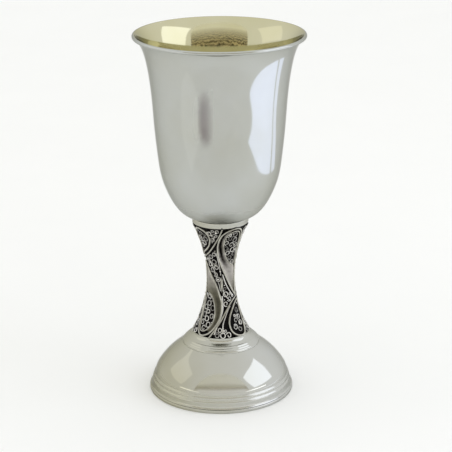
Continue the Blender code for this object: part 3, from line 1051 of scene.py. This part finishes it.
def fasteners(finish, silver):
    """The threaded rod, washer and nut seen inside the foot, and the boss that they pull on."""
    low, high, radius = bounds_mm("tie_rod")
    rings = [(0.0, low), (radius - 0.5, low), (radius, low + 0.5)]
    rings += [(radius, low + 0.5 + 0.1 * i) for i in range(1, 100)]
    rings += [(radius, high - 0.4), (radius - 0.4, high), (0.0, high)]
    plain = lathe("plain_rod", rings, finish, steps=32)
    rod = baked("threaded_rod", plain.data.copy(), thread_tree(), Top=(low + 10.2) * MM, Finish=finish)
    bpy.data.objects.remove(plain)
    rod.data.set_sharp_from_angle(angle=radians(50.0))
    stands_for(rod, "tie_rod", slot="zinc_steel")

    low, high, radius = bounds_mm("clamp_washer")
    hole = 2.9
    section = [
        (hole, high), (radius - 0.3, high), *arc((radius - 0.25, high - 0.25), 0.25, 90, 0, 4),
        *arc((radius - 0.15, low + 0.15), 0.15, 0, -90, 3), (hole + 0.1, low), (hole, low + 0.1),
    ]
    washer = lathe("pressed_washer", section, finish, steps=96)
    stands_for(washer, "clamp_washer", slot="zinc_steel")

    low, high, flats = bounds_mm("nut")
    steps, bore, slope = 96, 2.6, 0.55
    section = [
        (bore + 0.3, low, False), (flats - 0.1, low, True), (9.0, low + 0.1, True), (9.0, low + 0.45, True)
    ]
    section += [
        (9.0, high - 0.45, True), (9.0, high - 0.1, True), (flats - 0.1, high, True), (bore + 0.3, high, False)
    ]
    section += [(bore, high - 0.3, False), (bore, low + 0.3, False)]
    rings = []
    for reach, level, is_outside in section:
        ring = []
        for i in range(steps):
            angle = tau * i / steps
            hexagon = flats / cos((angle + pi / 6) % (pi / 3) - pi / 6)
            from_face = min(level - low, high - level)
            far = min(reach, hexagon, flats - 0.1 + from_face / slope) if is_outside else reach
            ring.append((far * MM * cos(angle), far * MM * sin(angle), level * MM))
        rings.append(ring)
    stands_for(skinned("hexagon_nut", rings, finish, sharp=25.0), "nut", slot="zinc_steel")

    low, high, radius = bounds_mm("threaded_boss")
    section = [
        (BORE, high), (radius - 0.4, high), *arc((radius - 0.4, high - 0.4), 0.4, 90, 0, 5),
        *arc((radius - 0.2, low + 0.2), 0.2, 0, -90, 3), (BORE + 0.2, low), (BORE, low + 0.2),
    ]
    boss = lathe("turned_boss", section, silver, steps=96)
    stands_for(boss, "threaded_boss")


# -------------------- stage


def lamp(name, place, aim, width, tall, glow, tint):
    """A flat softbox of even glow, seen only through its light and reflections."""
    light = bpy.data.lights.new(name, "AREA")
    light.shape = "RECTANGLE"
    light.size = width
    light.size_y = tall
    light.energy = glow * pi * width * tall
    light.color = colour(tint)[:3]
    softbox = new_object(name, light)
    softbox.location = place
    softbox.rotation_euler = (Vector(aim) - Vector(place)).to_track_quat("-Z", "Y").to_euler()
    softbox.visible_camera = False


def sheet(name, corners, finish):
    mesh = bpy.data.meshes.new(name)
    mesh.from_pydata(corners, [], [tuple(range(len(corners)))])
    return new_object(name, mesh, finish)


def rectangle(middle, half):
    """The corners of a rectangle, from the bottom of its near side to the top of its far side."""
    x, y, z = middle
    wide, deep, tall = half
    near = [(x - wide, y - deep, z - tall), (x + wide, y - deep, z - tall)]
    return [*near, (x + wide, y + deep, z + tall), (x - wide, y + deep, z + tall)]


def fading_card(name, middle, half, finish, tree, solid, tint):
    """A glowing card that the camera can't see, as solid as its finish says from place to place."""
    glow = put(tree, "Emission", Color=tint)[0]
    gap = put(tree, "BsdfTransparent")[0]
    faded = put(tree, "MixShader", solid, gap, glow)[0]
    put(tree, "OutputMaterial", Surface=faded)
    board = sheet(name, rectangle(middle, half), finish)
    board.visible_camera = False
    board.visible_shadow = False


def stage():
    """Pale floor and sky, a window on the right, a dimmer one on the left, and a dark drape in front."""
    pale, tree, place = new_finish("pale_paper")
    fibre = cloud(tree, place, 30.0)
    tint = put(tree, "Mix", fibre, A="#fdfdfc", B="#fafaf9", data_type="RGBA")["Result"]
    end_finish(tree, Base_Color=tint, Roughness=0.9, Specular_IOR_Level=0.1)
    reach = 40 * HEIGHT
    floor = sheet("floor", rectangle((0, 0, 0), (reach, reach, 0)), pale)

    world = bpy.data.worlds.new("soft sky")
    bpy.context.scene.world = world
    world.use_nodes = True
    world.node_tree.nodes.clear()
    sky = put(world.node_tree, "Background", Color="#f8f9f8", Strength=1.04)[0]
    put(world.node_tree, "OutputWorld", Surface=sky)

    middle = (0.0, 0.0, 0.08)
    lamp("right window", (0.59, -0.10, 0.43), middle, 0.56, 0.42, 0.78, "#e9efff")
    lamp("left window", (-0.60, 0.05, 0.43), middle, 0.50, 0.34, 0.2, "#fffdf4")
    lamp("glow on the table", (0.31, -0.06, 0.002), (0.31, -0.06, 1.0), 0.21, 0.24, 0.8, "#cdd8ff")
    lamp("second glow", (0.31, 0.10, 0.002), (0.31, 0.10, 1.0), 0.21, 0.05, 0.75, "#cdd8ff")
    lamp("left glow", (-0.23, -0.19, 0.002), (-0.23, -0.19, 1.0), 0.14, 0.14, 0.07, "#ffffff")
    low = (0.0, 0.0, 0.03)
    lamp("low light on the right", (0.62, -0.34, 0.13), low, 0.50, 0.05, 1.4, "#f8faff")
    lamp("low light on the left", (-0.58, -0.40, 0.13), low, 0.45, 0.05, 0.9, "#fffdf6")

    drape, tree, place = new_finish("ribbed_drape")
    rise = put(tree, "SeparateXYZ", place)[2]
    fold = {"Scale": 6.0, "Distortion": 6.0, "Detail": 2.0, "Detail_Scale": 2.0}
    weave = put(tree, "TexWave", Vector=place, bands_direction="Z", **fold)["Fac"]
    ribbed = mottled(tree, weave, 0.3, 0.7, "#160e02", "#d2c298")
    tint = mottled(tree, rise, 0.36, 0.9, ribbed, "#fffdf5")
    matt = put(tree, "MapRange", weave, 0.0, 1.0, 0.8, 1.0)[0]
    end_finish(tree, Base_Color=tint, Roughness=matt)
    front, hem, half_width, shoulder = -0.78, 0.24, 0.85, 0.85
    corners = [(-half_width, front, hem), (half_width, front, hem)]
    for x, z in arc((0.0, 0.0), half_width, 0, 180, 24):
        corners.append((x, front, shoulder + 0.7 * z))
    cloth = sheet("drape", corners, drape)
    cloth.visible_camera = False

    # A low pale card, faint at its edges, that hides the drape's hem from the foot
    veil, tree, place = new_finish("pale_card")
    across, _, rise = put(tree, "SeparateXYZ", place)
    aside = put(tree, "Math", across, operation="ABSOLUTE")[0]
    solid = 1.0
    for way, clear, full in ((rise, 0.15, 0.092), (rise, 0.032, 0.06), (aside, 0.27, 0.16)):
        edge = put(tree, "MapRange", way, clear, full)[0]
        solid = put(tree, "Math", edge, solid, operation="MULTIPLY")[0]
    fading_card("card", (0.0, -0.2, 0.09), (0.28, 0.0, 0.062), veil, tree, solid, "#fafaf8")

    # A soft mauve spot on the table, which the bowl shows left of its middle
    x, y, reach = -0.135, -0.30, 0.08
    spot, tree, place = new_finish("mauve_spot")
    off = put(tree, "VectorMath", place, (x, y, 0.0), operation="SUBTRACT")[0]
    far = put(tree, "VectorMath", off, operation="LENGTH")["Value"]
    solid = put(tree, "MapRange", far, 0.25 * reach, reach, 0.75, 0.0)[0]
    fading_card("mauve_spot", (x, y, 0.003), (1.1 * reach, 1.1 * reach, 0.0), spot, tree, solid, "#a3979b")


def camera():
    """Looks down at the goblet from the front, with a long lens."""
    lens = bpy.data.cameras.new("camera")
    lens.sensor_width = 36.0
    lens.lens = 130.5
    lens.shift_x = 0.0124
    viewer = new_object("camera", lens)
    viewer.location = (0.0, -633.1 * MM, 284.1 * MM)
    level = Euler((pi / 2 - 0.3259, 0.0, 0.0)).to_matrix()
    viewer.rotation_euler = (level @ Matrix.Rotation(radians(-0.33), 3, "Z")).to_euler()
    bpy.context.scene.camera = viewer


# -------------------- assembly

silver = polished_silver()
bowl(parcel_gilt_silver())
upper_collar(silver)
lower_collar(silver)
shoulder_ring(silver)
foot(silver)
base_ring(silver)
core(blackened_ground())
openwork(
    oxidised_openwork("oxidised_wire", -0.52, -0.08, "#c3c1b6", "#8d8980"),
    oxidised_openwork("oxidised_fine_wire", -0.58, -0.20, "#e6e4de", "#a39f98"),
    oxidised_openwork("oxidised_channel", -0.88, -0.38, "#cbc6c1", "#767364", lower_half_shade=1.0),
)
fasteners(zinc_plated_steel(), silver)
stage()
camera()
bpy.context.scene.view_settings.view_transform = "Standard"
